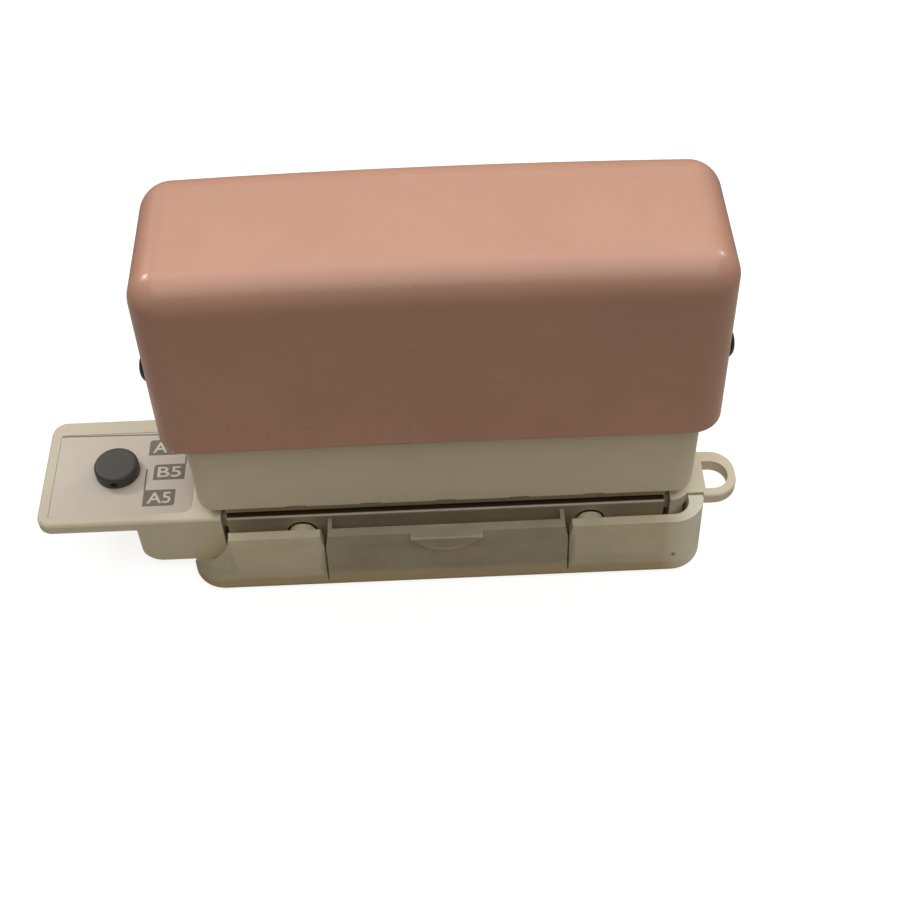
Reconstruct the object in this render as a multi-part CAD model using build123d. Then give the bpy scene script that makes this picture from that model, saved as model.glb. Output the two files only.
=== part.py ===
from build123d import *
import os

# Six-hole loose-leaf paper punch, pressed straight down by hand.
#
# Millimetres, +Z up.  X runs along the row of punches (to the user's right), Y from
# the open mouth of the paper slot to the back.  The origin lies on the resting face,
# under the middle of the punch row.
#
# A steel die plate and a steel guide plate, held a slot apart by the paper stop, are
# clamped between a moulded base and a moulded housing.  Six punches stand in them.  A
# press bar pushes all six, and the cover is pinned to the bar by two side pins that run
# in slots of the housing's end walls.  A chip tray is hinged under the base.

# ---- driving dimensions -------------------------------------------------------------

PITCH = 9.5                 # loose-leaf hole pitch
HOLES = 6
PUNCH_R = 2.75
RUNNING_GAP = 0.05          # radial play of a sliding or turning round fit
PAPER_EDGE = 6.5            # from the hole centres to the edge of the sheet
STROKE = 6.0

PAPER_Z = 9.6               # level of the sheet: top of the die plate and of the gauge
SLOT_H = 0.8
DIE_T = 1.2
GUIDE_T = 0.8
PLATE_HALF = 28.1           # half length of the two steel plates
PLATE_BACK = 9.4

HOUSING_HALF = 31.8
HOUSING_FRONT = -7.9
HOUSING_BACK = 9.7
HOUSING_Z = (11.3, 36.0)
HOUSING_WALL = 1.4
HOUSING_R = 2.7             # vertical edges

COVER_HALF_BOTTOM = 34.1
COVER_HALF_TOP = 33.5
COVER_X = -0.23             # middle of the cover, which sits off centre within its side play
COVER_Y = (-9.8, 11.7)
COVER_Z = (24.35, 51.15)
COVER_CROWN = 0.6           # rise of the top towards the middle
COVER_ARCH = 0.3            # rise of the lower edge towards the middle
COVER_WALL = 1.3
COVER_EDGE_R = 4.0          # vertical edges
COVER_TOP_R = 3.8           # top edges
COVER_RIM_R = 0.5           # lower edge, outside

BAR_HALF = 29.8
BAR_Y = 3.8
BAR_Z = (27.4, 32.4)
COVER_PIN_Z = 29.9
COVER_PIN_R = 1.2

UPPER_GUIDE_Z = 20.2
UPPER_GUIDE_T = 1.0
CLIP_T = 0.45
CLIP_Z = UPPER_GUIDE_Z - CLIP_T - 0.05
SPRING_WIRE = 0.45
SPRING_R = 3.3              # mean radius of the coil
SPRING_TURNS = 4

DIE_FRONT = -8.2
DIE_EDGE_R = 0.3            # bend of the die plate into its front flange
BASE_FRONT = -8.1
BASE_BACK = 9.7
BASE_Z = 1.35               # underside of the base's end blocks
BASE_EDGE_R = 0.5           # top edges of the gauge plate and of the left block
BLOCK_LEFT = -39.9
BLOCK_R = (2.5, 2.4)        # lower left and lower right edges of the left block
COLUMN_IN = 28.9            # inner face of the two end columns
COLUMN_OUT = 31.15
COLUMN_R = 2.2
FLANGE_IN = 31.7            # right flange, in front of the lanyard loop
FLANGE_OUT = 33.4           # right flange, beside and behind the loop
FLANGE_STEP_Y = -7.0
FLANGE_T = 1.8

LOOP_X = 37.9               # outer end of the lanyard loop
LOOP_Y = (-7.6, -0.1)
LOOP_R = 3.2
EYE_X = (33.7, 36.85)       # the loop's opening
EYE_Y = (-6.4, -1.9)

GAUGE_LEFT = -52.75
GAUGE_T = 1.6
GAUGE_R = 2.0
LABEL_X = (-51.3, -32.75)
LABEL_Y = (-6.75, 7.25)
LABEL_T = 0.25
LABEL_R = 1.3
LABEL_PLAY = 0.05
LOCATE = (-43.0, 0.6)       # locating pin, about two pitches outside the first hole
LOCATE_R = 2.9
LOCATE_H = 1.7
LOCATE_SHANK_R = 1.48

TRAY_HALF = 33.3
TRAY_FRONT = (-12.65, -11.4)    # the front wall leans back: foot, rim
TRAY_BACK = 5.8
TRAY_RIM_Z = 9.3
TRAY_FLOOR = 1.6
TRAY_WALL = 1.25
TRAY_RIGHT_WALL = 2.0
TRAY_CORNER_R = 4.2
TRAY_BOTTOM_R = 0.9
TRAY_PLAY = 0.2
TRAY_REST = 0.05            # gap above the parts of the tray that close against the base
HINGE_Y = 8.2
HINGE_Z = 1.8
HINGE_R = 0.8
BARREL_R = 1.6
BARREL_HALF = 23.8
EAR_T = 2.0
NUB_X = 18.6                # two round nubs that snap into the die plate's front flange
NUB_Z = 6.5
NUB_R = 1.75
SLIT_X = 15.6
LIP_HALF = 4.6              # thumb lip in the middle of the tray's rim
LIP_OUT = 1.0

HOUSING_SCREW = (29.7, 7.9)
HOUSING_SCREW_R = 0.85
HOUSING_SCREW_HEAD_R = 1.35
GUIDE_SCREW = (2 * PITCH, 5.2)
GUIDE_SCREW_R = 0.8
RIVET_X = (-24.0, -8.0, 8.0, 24.0)
RIVET_Y = 8.0
RIVET_R = 1.0

ROW = [(i - (HOLES - 1) / 2) * PITCH for i in range(HOLES)]
SIDES = (-1, 1)
THROUGH = (-60, 60)         # span of a cut that passes right through


# ---- helpers ------------------------------------------------------------------------

def block(x, y, z):
    """A box between the two limits given for each axis."""
    size = [hi - lo for lo, hi in (x, y, z)]
    return Pos(x[0], y[0], z[0]) * Box(*size, align=(Align.MIN,) * 3)


def rod(axis, radius, centre, span):
    """A round bar along 'X', 'Y' or 'Z'; centre holds the other two coordinates."""
    bar = Cylinder(radius, span[1] - span[0], align=(Align.CENTER, Align.CENTER, Align.MIN))
    if axis == "X":
        return Pos(span[0], *centre) * (Rot(0, 90, 0) * bar)
    if axis == "Y":
        return Pos(centre[0], span[0], centre[1]) * (Rot(-90, 0, 0) * bar)
    return Pos(*centre, span[0]) * bar


def upright_edges(solid, x=None, y=None):
    """Straight edges that run up and down, at the given x and y where those are given."""
    found = []
    for edge in solid.edges().filter_by(GeomType.LINE):
        middle = edge @ 0.5
        if abs((edge % 0.5).Z) < 0.95:
            continue
        if x is not None and abs(middle.X - x) > 0.3:
            continue
        if y is not None and abs(middle.Y - y) > 0.05:
            continue
        found.append(edge)
    return found


def edges_at(solid, z, along=None):
    """Edges that lie in the level z, all of them or those along 'X' or 'Y'."""
    axis = {"X": Axis.X, "Y": Axis.Y}
    found = [e for e in solid.edges() if abs((e @ 0).Z - z) + abs((e @ 1).Z - z) < 1e-4]
    return found if along is None else ShapeList(found).filter_by(axis[along])


def screw(x, y, z_head, z_tip, head_r, shank_r, head_t):
    """A cross-head screw driven upwards: head below, shank above."""
    body = rod("Z", head_r, (x, y), (z_head, z_head + head_t))
    body = fillet(edges_at(body, z_head), 0.35)
    body += rod("Z", shank_r, (x, y), (z_head + head_t, z_tip))
    body = chamfer(edges_at(body, z_tip), 0.4)
    wing, width, depth = 0.62 * head_r, 0.16 * head_r, 0.55 * head_t
    for across, along in ((wing, width), (width, wing)):
        body -= block((x - across, x + across), (y - along, y + along),
                      (z_head - 0.1, z_head + depth))
    return body


def save(name, shape):
    export_step(shape, f"parts/{name}.step")


# ---- cover and press bar ------------------------------------------------------------

def cover_form(inset):
    """The cover's outer form, drawn in by inset; its lower end is left open-ended."""
    half_low, half_top = COVER_HALF_BOTTOM - inset, COVER_HALF_TOP - inset
    foot = COVER_Z[0] if inset == 0 else COVER_Z[0] - 1.0
    arch = COVER_ARCH if inset == 0 else 0.0
    crown = COVER_Z[1] - inset
    shoulder = crown - COVER_CROWN
    outline = Polyline((-half_top, shoulder), (-half_low, foot))
    if arch:
        outline += ThreePointArc((-half_low, foot), (0, foot + arch), (half_low, foot))
    else:
        outline += Line((-half_low, foot), (half_low, foot))
    outline += Line((half_low, foot), (half_top, shoulder))
    outline += ThreePointArc((half_top, shoulder), (0, crown), (-half_top, shoulder))
    face = make_face(Plane.XZ * outline)
    middle = sum(COVER_Y) / 2
    depth = (COVER_Y[1] - COVER_Y[0]) / 2 - inset
    form = Pos(0, middle, 0) * extrude(face, depth, both=True)
    form = fillet(upright_edges(form), COVER_EDGE_R - inset)
    form = fillet(form.faces().sort_by(Axis.Z)[-1].edges(), COVER_TOP_R - inset)
    if inset == 0:
        form = fillet(form.faces().sort_by(Axis.Z)[0].edges(), COVER_RIM_R)
    return Pos(COVER_X, 0, 0) * form


def make_cover():
    body = cover_form(0) - cover_form(COVER_WALL)
    rib_top = COVER_Z[1] - COVER_WALL - COVER_CROWN + 0.8
    rib_t = 1.3
    for x in (-3 * PITCH, -PITCH, 0, PITCH, 3 * PITCH):
        body += block((x - rib_t / 2, x + rib_t / 2), (-BAR_Y, BAR_Y),
                      (BAR_Z[1] + 0.02, rib_top))
    body -= rod("X", COVER_PIN_R + 0.03, (0, COVER_PIN_Z), THROUGH)
    return body


def make_press_bar():
    bar = block((-BAR_HALF, BAR_HALF), (-BAR_Y, BAR_Y), BAR_Z)
    bar = chamfer(bar.edges().filter_by(Axis.X), 0.5)
    pocket_depth = 1.6
    for x in (-2 * PITCH, 2 * PITCH):
        pocket = block((x - 6.5, x + 6.5), (-2.2, 2.2), (BAR_Z[1] - pocket_depth, BAR_Z[1] + 1))
        bar -= fillet(upright_edges(pocket), 1.2)
    pin_depth = 5.4
    for side in SIDES:
        span = sorted((side * (BAR_HALF - pin_depth), side * (BAR_HALF + 1)))
        bar -= rod("X", COVER_PIN_R + 0.02, (0, COVER_PIN_Z), span)
    return bar


def make_cover_pin(side):
    """A domed side pin: through the cover's end wall and the housing's slot into the bar."""
    shank_in = BAR_HALF - 5.0
    seat = COVER_HALF_BOTTOM - 0.07         # the end wall leans in a little at this level
    head_r, head_t = 2.0, 1.9
    pin = rod("X", COVER_PIN_R, (0, COVER_PIN_Z), (shank_in, seat))
    head = rod("X", head_r, (0, COVER_PIN_Z), (seat, seat + head_t))
    rim = [e for e in head.edges() if abs((e @ 0).X - seat - head_t) < 1e-4
           and e.geom_type == GeomType.CIRCLE]
    pin += fillet(rim, 1.3)
    return Pos(COVER_X, 0, 0) * (pin if side > 0 else mirror(pin, Plane.YZ))


# ---- punches, clips and springs -----------------------------------------------------

def make_punch(x):
    tip = PAPER_Z + SLOT_H + 0.2
    punch = rod("Z", PUNCH_R, (x, 0), (tip, BAR_Z[0]))
    punch = chamfer(edges_at(punch, BAR_Z[0]), 0.4)
    groove = rod("Z", PUNCH_R + 1, (x, 0), (CLIP_Z - 0.03, CLIP_Z + CLIP_T + 0.03))
    punch -= groove - rod("Z", PUNCH_R - 0.5, (x, 0), (CLIP_Z - 1, CLIP_Z + 1))
    saddle_r = 5.0
    punch -= rod("Y", saddle_r, (x, tip + 0.85 - saddle_r), (-4, 4))
    return punch


def make_clip(x):
    """An open retaining clip, seated in the punch's groove."""
    ring = rod("Z", PUNCH_R + 0.85, (x, 0), (CLIP_Z, CLIP_Z + CLIP_T))
    ring -= rod("Z", PUNCH_R - 0.48, (x, 0), (CLIP_Z - 1, CLIP_Z + 1))
    return ring - block((x - 1.6, x + 1.6), (-5, -1.2), (CLIP_Z - 1, CLIP_Z + 1))


def make_spring(x):
    low = HOUSING_Z[0] - 0.1 + SPRING_WIRE / 2
    high = CLIP_Z - 0.03 - SPRING_WIRE / 2
    rise = high - low
    path = Pos(x, 0, low) * Helix(rise / SPRING_TURNS, rise, SPRING_R)
    section = Plane(path @ 0, z_dir=path % 0) * Circle(SPRING_WIRE / 2)
    return sweep(section, path=path)


# ---- steel plates -------------------------------------------------------------------

def punch_holes(plate, z):
    for x in ROW:
        plate -= rod("Z", PUNCH_R + RUNNING_GAP, (x, 0), (z[0] - 1, z[1] + 1))
    return plate


def rivet_holes(plate, z):
    for x in RIVET_X:
        plate -= rod("Z", RIVET_R + 0.02, (x, RIVET_Y), (z[0] - 1, z[1] + 1))
    return plate


def make_die_plate():
    """The die: a flat plate whose front edge is bent down."""
    low = PAPER_Z - DIE_T
    flange_low = 4.0
    outer = block((-PLATE_HALF, PLATE_HALF), (DIE_FRONT, PLATE_BACK), (flange_low, PAPER_Z))
    outer = fillet([e for e in edges_at(outer, PAPER_Z, "X") if (e @ 0).Y < 0], DIE_EDGE_R)
    outer -= block(THROUGH, (DIE_FRONT + DIE_T, PLATE_BACK + 1), (flange_low - 1, low))
    plate = rivet_holes(punch_holes(outer, (low, PAPER_Z)), (low, PAPER_Z))
    for side in SIDES:
        plate -= rod("Y", NUB_R + 0.2, (side * NUB_X, NUB_Z), (DIE_FRONT - 1, DIE_FRONT + 2))
    return plate


def make_guide_plate():
    z = (PAPER_Z + SLOT_H, PAPER_Z + SLOT_H + GUIDE_T)
    plate = block((-PLATE_HALF, PLATE_HALF), (HOUSING_FRONT, PLATE_BACK), z)
    plate = chamfer([e for e in edges_at(plate, z[0], "X") if (e @ 0).Y < 0], 0.2)
    return rivet_holes(punch_holes(plate, z), z)


def make_paper_stop():
    z = (PAPER_Z, PAPER_Z + SLOT_H)
    strip = block((-PLATE_HALF, PLATE_HALF), (PAPER_EDGE, PLATE_BACK), z)
    return rivet_holes(strip, z)


def make_frame_rivets():
    z = (PAPER_Z - DIE_T, PAPER_Z + SLOT_H + GUIDE_T)
    rivets = []
    for x in RIVET_X:
        rivet = rod("Z", RIVET_R, (x, RIVET_Y), z)
        rivets.append(chamfer(rivet.edges().filter_by(GeomType.CIRCLE), 0.15))
    return Compound(children=rivets)


def make_upper_guide():
    z = (UPPER_GUIDE_Z, UPPER_GUIDE_Z + UPPER_GUIDE_T)
    plate = block((-27.2, 27.2), (-6.3, 6.3), z)
    plate = punch_holes(fillet(upright_edges(plate), 1.0), z)
    for sx in SIDES:
        for sy in SIDES:
            x, y = sx * GUIDE_SCREW[0], sy * GUIDE_SCREW[1]
            plate -= rod("Z", GUIDE_SCREW_R + 0.1, (x, y), (z[0] - 1, z[1] + 1))
    return plate


def make_guide_screws():
    head_t = 1.1
    screws = []
    for sx in SIDES:
        for sy in SIDES:
            screws.append(screw(sx * GUIDE_SCREW[0], sy * GUIDE_SCREW[1],
                                UPPER_GUIDE_Z - head_t, 26.0, 1.25, GUIDE_SCREW_R, head_t))
    return Compound(children=screws)


# ---- housing ------------------------------------------------------------------------

def make_housing():
    span_x = (-HOUSING_HALF, HOUSING_HALF)
    outer = block(span_x, (HOUSING_FRONT, HOUSING_BACK), HOUSING_Z)
    outer = fillet(upright_edges(outer), HOUSING_R)
    inner_x = HOUSING_HALF - HOUSING_WALL
    inner_y = (HOUSING_FRONT + HOUSING_WALL, HOUSING_BACK - HOUSING_WALL)
    inner = block((-inner_x, inner_x), inner_y, (HOUSING_Z[0] - 1, HOUSING_Z[1] + 1))
    body = outer - fillet(upright_edges(inner), HOUSING_R - HOUSING_WALL)

    post_foot = UPPER_GUIDE_Z + UPPER_GUIDE_T
    for sx in SIDES:
        x = sx * GUIDE_SCREW[0]
        for wall, face in ((inner_y[0] - 0.5, -BAR_Y - 0.2), (inner_y[1] + 0.5, BAR_Y + 0.2)):
            body += block((x - 2, x + 2), sorted((wall, face)), (post_foot, HOUSING_Z[1]))
        for sy in SIDES:
            body -= rod("Z", GUIDE_SCREW_R + 0.05, (x, sy * GUIDE_SCREW[1]),
                        (post_foot - 1, 26.5))
        boss_x, boss_y = sx * HOUSING_SCREW[0], HOUSING_SCREW[1]
        boss = rod("Z", 1.95, (boss_x, boss_y), (HOUSING_Z[0], 24.0))
        body += boss & outer
        body -= rod("Z", HOUSING_SCREW_R + 0.05, (boss_x, boss_y), (HOUSING_Z[0] - 1, 22.0))

    # the side pins travel in slots of the end walls
    slot_half = 1.65
    slot_z = (COVER_PIN_Z - STROKE - 0.4, COVER_PIN_Z + 0.1)
    slot = block(THROUGH, (-slot_half, slot_half), slot_z)
    for z in slot_z:
        slot += rod("X", slot_half, (0, z), THROUGH)
    body -= slot

    # five small reliefs in the lower front edge, between the punches
    for x in (i * PITCH for i in range(-2, 3)):
        relief = block((x - 1.3, x + 1.3), (HOUSING_FRONT - 1, HOUSING_FRONT + 2),
                       (HOUSING_Z[0] - 1, HOUSING_Z[0] + 0.15))
        body -= relief
    return body


# ---- base ---------------------------------------------------------------------------

def make_left_block():
    """The left end block, whose top runs out to the left as the gauge plate."""
    body = block((BLOCK_LEFT, -COLUMN_IN), (BASE_FRONT, BASE_BACK), (BASE_Z, PAPER_Z))
    for x, radius in zip((BLOCK_LEFT, -COLUMN_IN), BLOCK_R):
        body = fillet([e for e in edges_at(body, BASE_Z, "Y") if abs((e @ 0).X - x) < 0.1], radius)
    plate = block((GAUGE_LEFT, -COLUMN_IN), (BASE_FRONT, BASE_BACK),
                  (PAPER_Z - GAUGE_T, PAPER_Z))
    body += fillet(upright_edges(plate, x=GAUGE_LEFT), GAUGE_R)
    rim = [e for e in edges_at(body, PAPER_Z) if (e @ 0.5).X < -COLUMN_IN - 0.1]
    body = fillet(rim, BASE_EDGE_R)
    body -= block((-38.2, -33.0), (-6.5, 8.1), (BASE_Z - 1, 6.4))
    body -= label_form(0, (PAPER_Z - LABEL_T - 0.05, PAPER_Z + 1))
    return body - rod("Z", LOCATE_SHANK_R + 0.02, LOCATE, THROUGH)


def make_right_flange():
    """The flange over the right column and, level with it, the lanyard loop."""
    z = (PAPER_Z - FLANGE_T, PAPER_Z)
    body = block((COLUMN_IN, FLANGE_IN), (BASE_FRONT, BASE_BACK), z)
    body = fillet(upright_edges(body, x=FLANGE_IN, y=BASE_FRONT), HOUSING_R)
    strip = block((COLUMN_IN, FLANGE_OUT), (FLANGE_STEP_Y, BASE_BACK), z)
    body += fillet(upright_edges(strip, x=FLANGE_OUT, y=BASE_BACK), HOUSING_R)
    loop = block((FLANGE_OUT - 0.1, LOOP_X), LOOP_Y, z)
    loop = fillet(upright_edges(loop, x=LOOP_X), LOOP_R)
    loop = fillet([e for e in edges_at(loop, z[0]) + edges_at(loop, z[1])
                   if (e @ 0.5).X > FLANGE_OUT], 0.4)
    body += loop
    eye = block(EYE_X, EYE_Y, THROUGH)
    return body - fillet(upright_edges(eye, x=EYE_X[1]), LOOP_R - 1.0)


def make_base():
    body = make_left_block()
    column = block((COLUMN_IN, COLUMN_OUT), (BASE_FRONT, BASE_BACK), (BASE_Z, PAPER_Z))
    body += fillet(upright_edges(column, x=COLUMN_OUT, y=BASE_FRONT), COLUMN_R)
    body += make_right_flange()

    # spine along the back, with the screw pads at its ends
    under_die = PAPER_Z - DIE_T - 0.1
    body += block((-COLUMN_OUT, COLUMN_OUT), (6.7, BASE_BACK), (3.6, under_die))
    for side in SIDES:
        x = sorted((side * 27.8, side * HOUSING_HALF))
        pad = block(x, (6.0, BASE_BACK), (BASE_Z, under_die))
        x = sorted((side * (PLATE_HALF + 0.2), side * HOUSING_HALF))
        pad += block(x, (PAPER_EDGE, BASE_BACK), (under_die - 0.1, HOUSING_Z[0]))
        if side > 0:
            pad = fillet(upright_edges(pad, x=HOUSING_HALF, y=BASE_BACK), HOUSING_R)
        body += pad
        screw_x, screw_y = side * HOUSING_SCREW[0], HOUSING_SCREW[1]
        body -= rod("Z", HOUSING_SCREW_R + 0.15, (screw_x, screw_y), THROUGH)
        body -= rod("Z", HOUSING_SCREW_HEAD_R + 0.1, (screw_x, screw_y), (0, BASE_Z + 1.4))

        # ledge under the end of the die plate
        x = sorted((side * 27.0, side * (COLUMN_IN + 0.1)))
        body += block(x, (-6.6, 6.2), (6.2, PAPER_Z - DIE_T - 0.02))

        # hinge ear under the spine
        x = sorted((side * (BARREL_HALF + 0.15), side * (BARREL_HALF + 0.15 + EAR_T)))
        ear = rod("X", BARREL_R, (HINGE_Y, HINGE_Z), x)
        ear += block(x, (6.75, HINGE_Y + 1.45), (HINGE_Z, 4.0))
        body += ear - rod("X", HINGE_R + RUNNING_GAP, (HINGE_Y, HINGE_Z), THROUGH)
    return body


def make_housing_screws():
    screws = [screw(side * HOUSING_SCREW[0], HOUSING_SCREW[1], BASE_Z + 0.1, 20.5,
                    HOUSING_SCREW_HEAD_R, HOUSING_SCREW_R, 1.3) for side in SIDES]
    return Compound(children=screws)


# ---- size gauge ---------------------------------------------------------------------

def label_form(inset, z):
    """The label's outline, drawn in by inset, between two levels."""
    x = (LABEL_X[0] + inset, LABEL_X[1] - inset)
    y = (LABEL_Y[0] + inset, LABEL_Y[1] - inset)
    form = fillet(upright_edges(block(x, y, z), x=x[1]), LABEL_R - inset)
    return fillet(upright_edges(form, x=x[0]), 0.4)


def make_gauge_label():
    label = label_form(LABEL_PLAY, (PAPER_Z - LABEL_T - 0.05, PAPER_Z - 0.05))
    return label - rod("Z", LOCATE_SHANK_R + 0.12, LOCATE, THROUGH)


def make_gauge_pin():
    seat = PAPER_Z - 0.05
    under = PAPER_Z - GAUGE_T
    pin = rod("Z", LOCATE_R, LOCATE, (seat, seat + LOCATE_H))
    pin = fillet(edges_at(pin, seat + LOCATE_H), 0.5)
    pin += rod("Z", LOCATE_SHANK_R, LOCATE, (under - 0.4, seat))
    pin += rod("Z", 2.3, LOCATE, (under - 0.8, under))      # riveted end under the plate
    front = LOCATE[1] - LOCATE_R
    dimple = rod("Y", 0.45, (LOCATE[0] - 0.1, seat + 0.7), (front - 1, front + 0.8))
    return pin - dimple


# ---- chip tray ----------------------------------------------------------------------

def leaning_block(x, foot, rim, back, z):
    """A block between the levels z whose front leans back from y = foot to y = rim."""
    outline = Polyline((foot, z[0]), (back, z[0]), (back, z[1]), (rim, z[1]), (foot, z[0]))
    return Pos(x[0], 0, 0) * extrude(make_face(Plane.YZ * outline), x[1] - x[0])


def make_tub():
    """The tray's outer form, cut to pass the base block, the column and the flange."""
    foot, rim_y = TRAY_FRONT
    tub = leaning_block((-TRAY_HALF, TRAY_HALF), foot, rim_y, TRAY_BACK, (0, TRAY_RIM_Z))
    corners = [e for e in upright_edges(tub) if (e @ 0.5).Y < 0]
    tub = fillet(corners, TRAY_CORNER_R)
    tub = fillet(edges_at(tub, 0), TRAY_BOTTOM_R)

    # a scoop in the left corner follows the block's rounded lower edge, sloping forwards
    edge, low, radius = -COLUMN_IN + TRAY_PLAY, BASE_Z - TRAY_REST, BLOCK_R[1]
    outline = Polyline((edge, 9), (edge, 30), (-50, 30), (-50, low), (edge - radius, low))
    outline += ThreePointArc((edge - radius, low), (edge - 0.45 * radius, low + 0.3 * radius),
                             (edge, 9))
    scoop = Pos(0, BASE_FRONT - TRAY_PLAY, 0) * make_face(Plane.XZ * outline)
    tub -= extrude(scoop, 8, dir=(0, -1, 1.2))
    behind = BASE_FRONT - TRAY_PLAY
    tub -= block((-40, edge), (behind, 10), (low, 20))

    # pockets for the right column and, above it, for the flange with its round corner
    under_flange = PAPER_Z - FLANGE_T - TRAY_PLAY
    for half, corner_r, foot_z in ((COLUMN_OUT, COLUMN_R, low),
                                   (FLANGE_IN, HOUSING_R, under_flange)):
        pocket = block((-edge - 1, half + TRAY_PLAY), (behind, 10), (foot_z, 20))
        tub -= fillet(upright_edges(pocket, x=half + TRAY_PLAY, y=behind), corner_r + TRAY_PLAY)
    return tub - block((28.0, 40), (FLANGE_STEP_Y - TRAY_PLAY, 10), (under_flange, 20))


def make_tray():
    rim, floor = TRAY_RIM_Z, TRAY_FLOOR
    foot, rim_y = (y + TRAY_WALL for y in TRAY_FRONT)
    tub = make_tub()

    # the hollow, and the low walls under the steel plates
    behind = BASE_FRONT - TRAY_PLAY
    inner_left = -COLUMN_IN + TRAY_PLAY + TRAY_WALL
    inner_right = TRAY_HALF - TRAY_RIGHT_WALL
    back_in = TRAY_BACK - TRAY_WALL
    low_wall = 5.9
    hollow = leaning_block((inner_left, inner_right), foot, rim_y, back_in, (floor, rim + 0.01))
    tub -= fillet([e for e in upright_edges(hollow, x=inner_right) if (e @ 0.5).Y < 0],
                  TRAY_CORNER_R - TRAY_RIGHT_WALL)
    tub -= block((-30, 28.0), (behind, 10), (low_wall, 20))
    tub -= block((-30, -27), (behind, back_in), (3.8, 20))

    # the left wall drops behind the rim, so that the end of the die plate shows
    tub -= block((-30, inner_left + 0.01), (rim_y, behind + 0.01), (6.8, 20))

    # upright ribs beside the slits, snap nubs, and low stops inside the front wall
    nub_end = DIE_FRONT - 0.15
    for side in SIDES:
        x = sorted((side * (SLIT_X - 1.0), side * (SLIT_X - 0.45)))
        tub += block(x, (rim_y - 0.2, DIE_FRONT - 0.25), (4.5, rim))
        slit = block((-0.12, 0.12), (-20, -9), (1.2, 20))
        notch = make_face(Plane.XZ * Polyline((-0.5, rim + 0.2), (0.5, rim + 0.2), (0.12, 7.5),
                                              (-0.12, 7.5), (-0.5, rim + 0.2)))
        slit += Pos(0, -10, 0) * extrude(notch, 4, both=True)
        tub -= Pos(side * SLIT_X, 0, 0) * slit
        nub = rod("Y", NUB_R, (side * NUB_X, NUB_Z), (rim_y - 0.4, nub_end))
        dome_r, dome_h = 3.63, 0.45
        dome = Pos(side * NUB_X, nub_end + dome_h - dome_r, NUB_Z) * Sphere(dome_r)
        nub += dome & rod("Y", NUB_R, (side * NUB_X, NUB_Z), (nub_end - 0.05, nub_end + 1))
        tub += nub
    for x in ((-25.1, -21.5), (18.6, 22.6)):
        tub += block(x, (foot - 0.2, foot + 0.7), (floor - 0.2, 3.8))

    # thumb lip
    low, deep = rim - 0.55, rim - 2.5
    outline = Polyline((-LIP_HALF + 0.7, low), (-LIP_HALF, low), (-LIP_HALF, rim),
                       (LIP_HALF, rim), (LIP_HALF, low), (LIP_HALF - 0.7, low))
    outline += ThreePointArc((LIP_HALF - 0.7, low), (0, deep), (-LIP_HALF + 0.7, low))
    lip = extrude(make_face(Plane.XZ * outline), LIP_OUT + 0.3, dir=(0, -1, 0))
    lip = fillet([e for e in edges_at(lip, rim, "X") if (e @ 0).Y < -LIP_OUT], 0.25)
    tub += Pos(0, TRAY_FRONT[1] + 0.3, 0) * lip

    # hinge barrel with a trunnion at each end
    tub += block((-BARREL_HALF, BARREL_HALF), (TRAY_BACK - 0.5, HINGE_Y), (0.2, floor))
    tub += rod("X", BARREL_R, (HINGE_Y, HINGE_Z), (-BARREL_HALF, BARREL_HALF))
    pivot = BARREL_HALF + EAR_T
    tub += rod("X", HINGE_R, (HINGE_Y, HINGE_Z), (-pivot, pivot))
    return tub


# ---- write the nodes ----------------------------------------------------------------

os.makedirs("parts", exist_ok=True)

save("cover", make_cover())
save("cover_pin_left", make_cover_pin(-1))
save("cover_pin_right", make_cover_pin(1))
save("press_bar", make_press_bar())
for number, punch_x in enumerate(ROW, start=1):
    save(f"punch_{number}", make_punch(punch_x))
    save(f"punch_spring_{number}", make_spring(punch_x))
save("punch_clips", Compound(children=[make_clip(x) for x in ROW]))
save("upper_guide_plate", make_upper_guide())
save("guide_screws", make_guide_screws())
save("housing", make_housing())
save("housing_screws", make_housing_screws())
save("guide_plate", make_guide_plate())
save("paper_stop", make_paper_stop())
save("die_plate", make_die_plate())
save("frame_rivets", make_frame_rivets())
save("base_frame", make_base())
save("gauge_label", make_gauge_label())
save("gauge_pin", make_gauge_pin())
save("chip_tray", make_tray())
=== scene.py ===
import math

import bmesh
import bpy
from mathutils import Matrix, Vector


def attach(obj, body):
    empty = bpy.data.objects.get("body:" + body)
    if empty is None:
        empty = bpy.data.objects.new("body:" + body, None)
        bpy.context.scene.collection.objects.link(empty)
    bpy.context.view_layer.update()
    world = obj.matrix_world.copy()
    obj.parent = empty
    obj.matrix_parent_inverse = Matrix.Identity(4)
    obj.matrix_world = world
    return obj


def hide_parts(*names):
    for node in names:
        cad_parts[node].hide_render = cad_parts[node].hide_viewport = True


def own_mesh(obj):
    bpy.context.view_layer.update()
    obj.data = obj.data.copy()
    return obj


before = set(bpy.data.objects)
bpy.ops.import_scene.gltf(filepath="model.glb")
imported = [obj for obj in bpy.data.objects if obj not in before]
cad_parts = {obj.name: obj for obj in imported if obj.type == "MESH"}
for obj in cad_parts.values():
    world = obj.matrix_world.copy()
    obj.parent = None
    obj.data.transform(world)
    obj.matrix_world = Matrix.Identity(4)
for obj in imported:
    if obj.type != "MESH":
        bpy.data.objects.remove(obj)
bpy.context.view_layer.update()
MM = 0.001
UM = 1e-6

# The loose-leaf punch in the frame of the CAD: +X to the user's right along the row of
# punches, +Y from the mouth of the paper slot to the back, +Z up.  Every CAD node gets a
# procedural material.  The printed gauge marks and the return springs are made here.

PITCH = 9.5                             # of the six punches
HOLES = 6
SLOT_FRONT = -7.98 * MM                 # y where the die plate passes into the paper slot
GAUGE_ROOT = -33 * MM                   # x where the gauge plate leaves the housing

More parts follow.
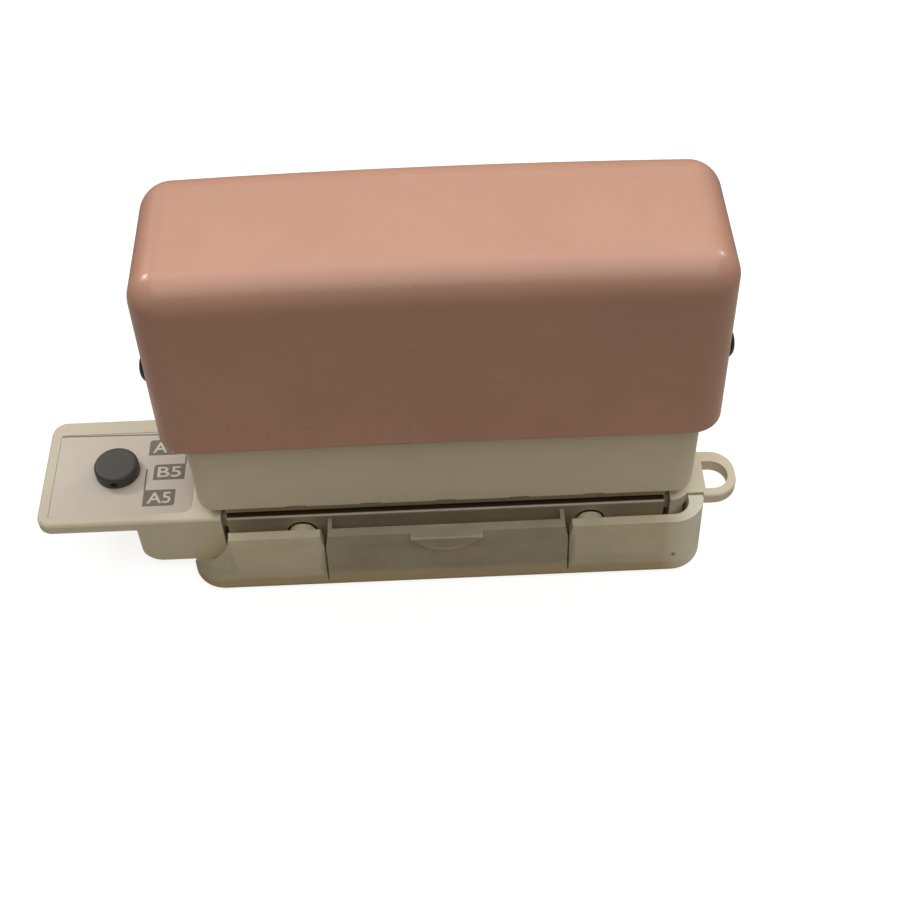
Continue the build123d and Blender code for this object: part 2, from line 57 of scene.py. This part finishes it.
# the frosted tray changes colour at these places
TRAY_CENTRE = (16.3 * MM, 17.2 * MM)    # distance from the middle where the clear part ends
TRAY_CORNER = (28.5 * MM, 32.5 * MM)    # x over which the right corner grows pale, painted light for light shining through it from behind
TRAY_FOOT = (3.9 * MM, 2.7 * MM)        # z over which the foot grows brown with painted shade
SPECK = (29.25 * MM, -12.2 * MM, 3.45 * MM)      # a dark speck near the right corner
SPECK_R = 0.34 * MM


# ---- node helpers -------------------------------------------------------------------

class Shader:
    """A small builder for one procedural material."""

    def __init__(self, name):
        self.material = bpy.data.materials.new(name)
        self.material.use_nodes = True
        self.tree = self.material.node_tree
        self.tree.nodes.clear()
        self.output = self.add("ShaderNodeOutputMaterial")
        self.coords = self.add("ShaderNodeTexCoord").outputs["Object"]

    def add(self, kind, inputs=None, **settings):
        node = self.tree.nodes.new(kind)
        for key, value in settings.items():
            setattr(node, key, value)
        for key, value in (inputs or {}).items():
            self.put(node.inputs[key], value)
        return node

    def put(self, socket, value):
        if isinstance(value, bpy.types.NodeSocket):
            self.tree.links.new(value, socket)
        else:
            socket.default_value = value

    def scaled(self, scale):
        return self.add("ShaderNodeMapping", {"Vector": self.coords, "Scale": scale}).outputs[0]

    def noise(self, size, detail=3.0, stretch=(1, 1, 1), rough=0.55):
        """Noise whose features are about size metres across."""
        where = self.scaled([s / size for s in stretch])
        node = self.add("ShaderNodeTexNoise", {"Vector": where, "Scale": 1.0,
                                               "Detail": detail, "Roughness": rough})
        return node.outputs["Fac"]

    def ramp(self, value, low, high, out_low=0.0, out_high=1.0):
        node = self.add("ShaderNodeMapRange", {"Value": value, "From Min": low, "From Max": high,
                                               "To Min": out_low, "To Max": out_high})
        return node.outputs[0]

    def maths(self, operation, a, b=0.0):
        return self.add("ShaderNodeMath", {0: a, 1: b}, operation=operation).outputs[0]

    def times(self, a, b):
        return self.maths("MULTIPLY", a, b)

    def place(self, axis):
        """The coordinate of the shaded point along X, Y or Z."""
        return self.add("ShaderNodeSeparateXYZ", {0: self.coords}).outputs[axis]

    def facing_up(self):
        """1 on top faces, 0 on upright ones."""
        normal = self.add("ShaderNodeNewGeometry").outputs["Normal"]
        up = self.add("ShaderNodeSeparateXYZ", {0: normal}).outputs["Z"]
        return self.ramp(up, 0.5, 0.9)

    def mix(self, factor, a, b):
        node = self.add("ShaderNodeMix", data_type="RGBA")
        for socket, value in ((node.inputs[0], factor), (node.inputs[6], a), (node.inputs[7], b)):
            self.put(socket, value)
        return node.outputs[2]

    def spot(self, centre, radius):
        """1 within the radius of a point, 0 outside it."""
        return self.ramp(self.distance(self.coords, centre), radius, 0.6 * radius)

    def distance(self, here, there):
        return self.add("ShaderNodeVectorMath", {0: here, 1: there},
                        operation="DISTANCE").outputs["Value"]

    def bump(self, height, distance, strength=1.0, under=None):
        inputs = {"Height": height, "Distance": distance, "Strength": strength}
        if under is not None:
            inputs["Normal"] = under
        return self.add("ShaderNodeBump", inputs).outputs[0]

    def edges(self, radius):
        """1 on convex and concave edges, 0 on open faces."""
        bevel = self.add("ShaderNodeBevel", {"Radius": radius}, samples=4).outputs[0]
        flat = self.add("ShaderNodeNewGeometry").outputs["Normal"]
        dot = self.add("ShaderNodeVectorMath", {0: bevel, 1: flat}, operation="DOT_PRODUCT")
        return self.ramp(dot.outputs["Value"], 1.0, 0.86)

    def close(self, **inputs):
        surface = self.add("ShaderNodeBsdfPrincipled",
                           {key.replace("_", " "): value for key, value in inputs.items()})
        self.put(self.output.inputs["Surface"], surface.outputs[0])
        return self.material


def tone(colour, factor):
    return [min(1.0, c * factor) for c in colour[:3]] + [1.0]


# ---- materials ----------------------------------------------------------------------

def moulded_plastic(name, colour, rough=0.42, shade_left_of=None):
    """Satin moulded plastic: cloudy colour, a few specks, edges lightened as a painted highlight,
    fine grain.  Its top faces to the left of a given x are darkened with painted shade."""
    s = Shader(name)
    cloud = s.noise(14 * MM, 3)
    base = s.mix(s.ramp(cloud, 0.3, 0.7), tone(colour, 0.965), tone(colour, 1.03))
    specks = s.ramp(s.noise(0.5 * MM, 2), 0.70, 0.78)
    base = s.mix(s.times(specks, 0.12), base, tone(colour, 0.72))
    # painted highlight: edges, convex and concave, are mixed towards a lighter tone
    base = s.mix(s.times(s.edges(0.35 * MM), 0.30), base, tone(colour, 1.16))
    # painted shade: top faces to the left of the given x are darkened, standing in for less light
    # there
    if shade_left_of is not None:
        painted_shade = s.times(s.ramp(s.place("X"), shade_left_of, shade_left_of - 6 * MM), s.facing_up())
        base = s.mix(painted_shade, base, tone(colour, 0.76))
    scratches = s.ramp(s.noise(0.35 * MM, 4, (0.12, 1, 0.6)), 0.60, 0.85)
    worn = s.ramp(s.noise(11 * MM, 2), 0.42, 0.75)
    rubbed = s.times(s.times(scratches, worn), 0.05)
    smudge = s.ramp(s.noise(6 * MM, 4), 0.25, 0.75, rough - 0.05, rough + 0.07)
    roughness = s.maths("ADD", smudge, rubbed)
    grain = s.bump(s.noise(0.25 * MM, 2), 3 * UM)
    wave = s.bump(s.noise(9 * MM, 1), 12 * UM, 0.35, under=grain)
    return s.close(Base_Color=base, Roughness=roughness, Normal=wave, Specular_IOR_Level=0.4)


def brushed_metal(name, colour, rough=0.32, along="X", streak=0.06, metallic=1.0,
                  shade_behind=None):
    """Brushed metal.  Behind a given y it is painted dark brown as the shade inside the paper
    slot.
    """
    s = Shader(name)
    stretch = {"X": (0.02, 1, 1), "Y": (1, 0.02, 1), "Z": (1, 1, 0.02)}[along]
    lines = s.noise(streak * MM, 3, stretch)
    stain = s.noise(5 * MM, 4)
    base = s.mix(s.ramp(lines, 0.3, 0.7), tone(colour, 0.85), tone(colour, 1.1))
    base = s.mix(s.ramp(stain, 0.5, 0.8, 0, 0.35), base, tone(colour, 0.7))
    # painted shade: behind the given y, inside the paper slot, the metal is coloured dark brown
    if shade_behind is not None:
        slot_shade = s.ramp(s.place("Y"), shade_behind, shade_behind + 0.15 * MM)
        base = s.mix(slot_shade, base, SLOT_SHADE_BROWN)
    roughness = s.ramp(lines, 0.25, 0.75, rough - 0.08, rough + 0.1)
    normal = s.bump(lines, 2 * UM)
    return s.close(Base_Color=base, Metallic=metallic, Roughness=roughness, Normal=normal)


def frosted_plastic(name, colour, ends_colour, shaded_foot_colour, backlit_corner_colour, clear=0.60):
    """Milky plastic: part of the light passes straight through, blurred by the frosting.
    It is paler and denser in its solid ends and denser in its corner, whose paler colour is
    painted light shining through from behind; its browner foot is painted shade."""
    s = Shader(name)
    cloud = s.noise(10 * MM, 3)
    base = s.mix(s.ramp(cloud, 0.3, 0.7), tone(colour, 0.94), tone(colour, 1.05))
    drift = s.times(s.noise(5 * MM, 2), 1.5 * MM)       # makes the borders wander
    off_centre = s.maths("ABSOLUTE", s.place("X"))
    ends = s.ramp(s.maths("ADD", off_centre, drift), *TRAY_CENTRE)
    corner = s.ramp(s.maths("ADD", s.place("X"), drift), *TRAY_CORNER)
    foot = s.ramp(s.maths("ADD", s.place("Z"), drift), *TRAY_FOOT)
    base = s.mix(ends, base, tone(ends_colour, 1))
    # painted shade: the foot is made darker and browner
    base = s.mix(foot, base, tone(shaded_foot_colour, 1))
    # painted light: the right corner is made paler, as if lit through from behind
    base = s.mix(s.times(corner, 0.8), base, tone(backlit_corner_colour, 1))
    # painted highlight: edges, convex and concave, are mixed towards a lighter tone
    base = s.mix(s.times(s.edges(0.4 * MM), 0.15), base, tone(colour, 1.25))
    flecks = s.ramp(s.noise(0.45 * MM, 2), 0.72, 0.78)
    base = s.mix(s.times(flecks, 0.2), base, tone(colour, 0.6))
    base = s.mix(s.spot(SPECK, SPECK_R), base, tone(colour, 0.55))
    normal = s.bump(s.noise(0.12 * MM, 3), 2 * UM)
    roughness = s.ramp(s.noise(4 * MM, 3), 0.3, 0.7, 0.05, 0.11)
    passing = s.ramp(s.noise(7 * MM, 3), 0.3, 0.7, clear - 0.05, clear + 0.05)
    for mask, left in ((foot, 0.2), (ends, 0.85), (corner, 0.4)):
        passing = s.times(passing, s.ramp(mask, 0, 1, 1.0, left))
    return s.close(Base_Color=base, Roughness=roughness, Normal=normal, IOR=1.45,
                   Transmission_Weight=passing, Specular_IOR_Level=0.4)


def printed_film(name, colour, rough=0.5):
    """Matt film or ink, slightly uneven."""
    s = Shader(name)
    base = s.mix(s.ramp(s.noise(7 * MM, 4), 0.3, 0.7), tone(colour, 0.96), tone(colour, 1.03))
    normal = s.bump(s.noise(0.2 * MM, 2), 1.5 * UM)
    roughness = s.ramp(s.noise(3 * MM, 3), 0.3, 0.7, rough - 0.06, rough + 0.08)
    return s.close(Base_Color=base, Roughness=roughness, Normal=normal)


PINK = (0.59, 0.318, 0.222)
IVORY = (0.77, 0.685, 0.51)
# painted shade for the die plate inside the paper slot
SLOT_SHADE_BROWN = (0.085, 0.058, 0.026, 1)
SHELL_PINK = moulded_plastic("shell_pink", PINK, rough=0.29)
SHELL_IVORY = moulded_plastic("shell_ivory", IVORY, rough=0.42)
# the top of the gauge, left of GAUGE_ROOT, carries painted shade
BASE_IVORY = moulded_plastic("base_ivory", IVORY, rough=0.42, shade_left_of=GAUGE_ROOT)
FROSTED = frosted_plastic("frosted_tray", (0.76, 0.67, 0.51), ends_colour=(1.0, 0.911, 0.673),
                          shaded_foot_colour=(0.578, 0.456, 0.255), backlit_corner_colour=(1.0, 0.95, 0.80))
FILM = printed_film("label_film", (0.575, 0.50, 0.415))
PRINT_DARK = printed_film("print_dark", (0.17, 0.145, 0.11))
PRINT_PALE = printed_film("print_pale", (0.62, 0.56, 0.44))
PIN_GREY = moulded_plastic("pin_grey", (0.063, 0.058, 0.049), rough=0.5)
PIN_BLACK = moulded_plastic("pin_black", (0.02, 0.018, 0.016), rough=0.35)
STEEL = brushed_metal("plate_steel", (0.53, 0.455, 0.335), rough=0.55, metallic=0.55,
                      shade_behind=SLOT_FRONT)
STEEL_DARK = brushed_metal("guide_steel", (0.40, 0.31, 0.18), rough=0.55, metallic=0.4)
SPRING_STEEL = brushed_metal("spring_steel", (0.50, 0.48, 0.45), along="Z")
PUNCH_STEEL = brushed_metal("punch_steel", (0.55, 0.54, 0.52), along="Z")  # and small parts
CAST = brushed_metal("cast_bar", (0.4, 0.4, 0.39), rough=0.5, streak=0.3)

FINISH = {
    "cover": SHELL_PINK, "housing": SHELL_IVORY, "base_frame": BASE_IVORY,
    "gauge_label": FILM, "gauge_pin": PIN_GREY, "chip_tray": FROSTED,
    "cover_pin_left": PIN_BLACK, "cover_pin_right": PIN_BLACK, "press_bar": CAST,
    "die_plate": STEEL, "guide_plate": STEEL_DARK, "punch_clips": SPRING_STEEL,
}
for name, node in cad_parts.items():
    node.data.materials.clear()
    node.data.materials.append(FINISH.get(name, PUNCH_STEEL))


# ---- mesh helpers -------------------------------------------------------------------

def add_piece(name, mesh, material, body="frame"):
    mesh.materials.clear()
    mesh.materials.append(material)
    piece = bpy.data.objects.new(name, mesh)
    bpy.context.scene.collection.objects.link(piece)
    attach(piece, body)
    return piece


def slab_mesh(name, outline, low, high):
    """A flat closed solid over an outline of (x, y) in millimetres, counter-clockwise."""
    mesh = bpy.data.meshes.new(name)
    work = bmesh.new()
    rings = [[work.verts.new((x * MM, y * MM, z * MM)) for x, y in outline]
             for z in (low, high)]
    work.faces.new(reversed(rings[0]))
    work.faces.new(rings[1])
    count = len(outline)
    for i in range(count):
        j = (i + 1) % count
        work.faces.new((rings[0][i], rings[0][j], rings[1][j], rings[1][i]))
    work.to_mesh(mesh)
    work.free()
    return mesh


def box_outline(x, y, rounded="", radius=0.0):
    """A box with one corner rounded: "ll", "lr", "ur" or "ul", lower or upper first."""
    steps = 6
    corners = (("ll", x[0], y[0], 180), ("lr", x[1], y[0], 270),
               ("ur", x[1], y[1], 0), ("ul", x[0], y[1], 90))
    points = []
    for key, cx, cy, start in corners:
        if key != rounded:
            points.append((cx, cy))
            continue
        sx, sy = (1 if cx == x[0] else -1), (1 if cy == y[0] else -1)
        for step in range(steps + 1):
            angle = math.radians(start + 90 * step / steps)
            points.append((cx + sx * radius + radius * math.cos(angle),
                           cy + sy * radius + radius * math.sin(angle)))
    return points


# ---- printed marks of the gauge -----------------------------------------------------

LABEL_TOP = 9.55
INK_T = 0.015
SINK = 0.02                 # how far ink reaches down into the label
PALE_LIFT = 0.012           # how far the pale ink stands above the dark ink
INK_LEVELS = (LABEL_TOP - SINK, LABEL_TOP + INK_T)
PALE_LEVELS = (LABEL_TOP - SINK, LABEL_TOP + INK_T + PALE_LIFT)
BOX_R = 0.45
LETTER_MARGIN = (0.52, 0.42)            # from the box to the letters, along x and y
LINE_HALF = 0.1


def word_mesh(word, x, y, z):
    """Lettering as a closed mesh that fills the box between the limits on each axis."""
    curve = bpy.data.curves.new("word", "FONT")
    curve.body = word
    curve.size = 1.0
    curve.offset = 0.012                # slightly bolder strokes
    curve.extrude = 0.5
    curve.resolution_u = 6
    carrier = bpy.data.objects.new("word", curve)
    bpy.context.scene.collection.objects.link(carrier)
    bpy.context.view_layer.update()
    mesh = bpy.data.meshes.new_from_object(carrier.evaluated_get(
        bpy.context.evaluated_depsgraph_get()))
    bpy.data.objects.remove(carrier)
    work = bmesh.new()
    work.from_mesh(mesh)
    bmesh.ops.remove_doubles(work, verts=work.verts, dist=1e-5)
    spans = [(min(v.co[i] for v in work.verts), max(v.co[i] for v in work.verts))
             for i in range(3)]
    for vertex in work.verts:
        for i, ((a, b), (p, q)) in enumerate(zip(spans, (x, y, z))):
            vertex.co[i] = (p + (vertex.co[i] - a) / (b - a) * (q - p)) * MM
    bmesh.ops.recalc_face_normals(work, faces=work.faces)
    work.to_mesh(mesh)
    work.free()
    return mesh


# size, box x, box y, rounded corner, x and y limits of the sheet-edge line
SIZE_MARKS = (
    ("A5", (-39.25, -35.10), (-5.44, -2.76), "lr", (-39.20, (-2.80, 0.85))),
    ("B5", (-38.26, -34.12), (-1.10, 1.51), "ul", (-34.15, (1.45, 3.85))),
    ("A4", (-39.20, -35.05), (3.15, 5.80), "ul", None),
)


# the line for the sheet's back edge is printed slightly askew
BACK_EDGE = [(-51.15, 6.98), (-35.0, 6.62), (-35.0, 6.82), (-51.15, 7.18)]


def add_ink(name, outline):
    add_piece(name, slab_mesh(name, outline, *INK_LEVELS), PRINT_DARK)


def make_size_marks():
    margin_x, margin_y = LETTER_MARGIN
    for word, x, y, rounded, line in SIZE_MARKS:
        tag = word.lower()
        add_ink(f"mark_{tag}_box", box_outline(x, y, rounded, BOX_R))
        letters = word_mesh(word, (x[0] + margin_x, x[1] - margin_x),
                            (y[0] + margin_y, y[1] - margin_y), PALE_LEVELS)
        add_piece(f"mark_{tag}_letters", letters, PRINT_PALE)
        if line:
            at, span = line
            add_ink(f"mark_{tag}_edge", box_outline((at - LINE_HALF, at + LINE_HALF), span))
    add_ink("mark_back_edge", BACK_EDGE)


# ---- return springs -----------------------------------------------------------------

SPRING_LOW, SPRING_HIGH = 11.43, 19.45  # middle of the wire at both ends
SPRING_R, SPRING_WIRE_R, SPRING_TURNS = 3.3, 0.225, 4


def coil_mesh(name, x):
    """A coil of round wire, closed at both ends."""
    mesh = bpy.data.meshes.new(name)
    work = bmesh.new()
    steps, sides = 32 * SPRING_TURNS, 10        # round the coil, round the wire
    rings = []
    for step in range(steps + 1):
        share = step / steps
        angle = 2 * math.pi * SPRING_TURNS * share
        z = SPRING_LOW + (SPRING_HIGH - SPRING_LOW) * share
        ring = []
        for side in range(sides):
            turn = 2 * math.pi * side / sides
            out = SPRING_R + SPRING_WIRE_R * math.cos(turn)
            ring.append(work.verts.new(((x + out * math.cos(angle)) * MM,
                                        out * math.sin(angle) * MM,
                                        (z + SPRING_WIRE_R * math.sin(turn)) * MM)))
        rings.append(ring)
    for a, b in zip(rings, rings[1:]):
        for i in range(sides):
            j = (i + 1) % sides
            work.faces.new((a[i], b[i], b[j], a[j]))
    work.faces.new(rings[0])
    work.faces.new(reversed(rings[-1]))
    bmesh.ops.recalc_face_normals(work, faces=work.faces)
    for face in work.faces:
        face.smooth = True
    work.to_mesh(mesh)
    work.free()
    return mesh


def make_springs():
    for number in range(1, HOLES + 1):
        x = (number - (HOLES + 1) / 2) * PITCH
        coil = add_piece(f"return_spring_{number}", coil_mesh("coil", x), SPRING_STEEL)
        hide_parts(f"punch_spring_{number}")
        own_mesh(coil)


make_size_marks()
make_springs()


# ---- stage, lights and camera -------------------------------------------------------

def make_floor():
    """A pale floor.  It throws light up at the object only from near by."""
    bpy.ops.mesh.primitive_plane_add(size=6.0)
    floor = bpy.context.object
    floor.name = "floor"
    s = Shader("floor_pale")
    seen = s.add("ShaderNodeLightPath").outputs["Is Camera Ray"]
    away = s.distance(s.scaled((0.65, 1, 1)), (0, 0, 0))
    near, far = (0.46, 0.41, 0.34, 1), (0.10, 0.09, 0.08, 1)
    lit = s.mix(s.ramp(away, 65 * MM, 95 * MM), near, far)
    colour = s.mix(seen, lit, (0.30, 0.30, 0.30, 1))
    floor.data.materials.append(s.close(
        Base_Color=colour, Roughness=0.9, Specular_IOR_Level=0.0,
        Emission_Color=(1, 1, 0.995, 1), Emission_Strength=s.times(seen, 0.85)))


def add_area(name, direction, distance, size, power, colour=(1, 1, 1)):
    """A rectangular light in the given direction from the object's middle."""
    middle = Vector((0, 0, 0.03))
    data = bpy.data.lights.new(name, "AREA")
    data.shape = "RECTANGLE"
    data.size, data.size_y = size
    data.energy = power
    data.color = colour
    light = bpy.data.objects.new(name, data)
    light.location = middle + distance * Vector(direction).normalized()
    light.rotation_euler = (middle - light.location).to_track_quat("-Z", "Y").to_euler()
    bpy.context.scene.collection.objects.link(light)


def make_lights():
    """A wide light overhead, and two small ones behind for the glints on the corners."""
    add_area("left_softbox", (-0.62, 0.50, 0.58), 0.9, (0.17, 0.17), 2.3, (1, 0.985, 0.96))
    add_area("right_softbox", (0.66, 0.50, 0.56), 0.9, (0.10, 0.10), 1.2, (1, 0.985, 0.96))
    add_area("overhead", (0.10, 0.0, 1.0), 0.95, (2.2, 1.3), 14.0)


def make_world():
    """A faint warm fill that looks as white as the floor when seen directly."""
    world = bpy.data.worlds.new("studio")
    world.use_nodes = True
    nodes, links = world.node_tree.nodes, world.node_tree.links
    background = nodes["Background"]
    background.inputs["Color"].default_value = (1, 0.97, 0.93, 1)
    strength = nodes.new("ShaderNodeMapRange")
    strength.inputs["To Min"].default_value = 0.05
    strength.inputs["To Max"].default_value = 1.0
    links.new(nodes.new("ShaderNodeLightPath").outputs["Is Camera Ray"],
              strength.inputs["Value"])
    links.new(strength.outputs[0], background.inputs["Strength"])
    bpy.context.scene.world = world


CAMERA_PLACE = Vector((-0.07, -120.8, 155.48)) * MM
CAMERA_PITCH = math.radians(49.94)      # below the horizon
CAMERA_YAW = math.radians(-0.46)
CAMERA_ROLL = math.radians(-2.08)
CAMERA_LENS = 57.43                     # on a 36 mm sensor


def make_camera():
    data = bpy.data.cameras.new("camera")
    data.sensor_width = 36.0
    data.lens = CAMERA_LENS
    data.clip_start, data.clip_end = 0.005, 20.0
    camera = bpy.data.objects.new("camera", data)
    turn = (Matrix.Rotation(CAMERA_YAW, 4, "Z")
            @ Matrix.Rotation(math.pi / 2 - CAMERA_PITCH, 4, "X")
            @ Matrix.Rotation(CAMERA_ROLL, 4, "Z"))
    camera.matrix_world = Matrix.Translation(CAMERA_PLACE) @ turn
    bpy.context.scene.collection.objects.link(camera)
    bpy.context.scene.camera = camera


make_floor()
make_lights()
make_world()
make_camera()
bpy.context.scene.view_settings.view_transform = "Standard"
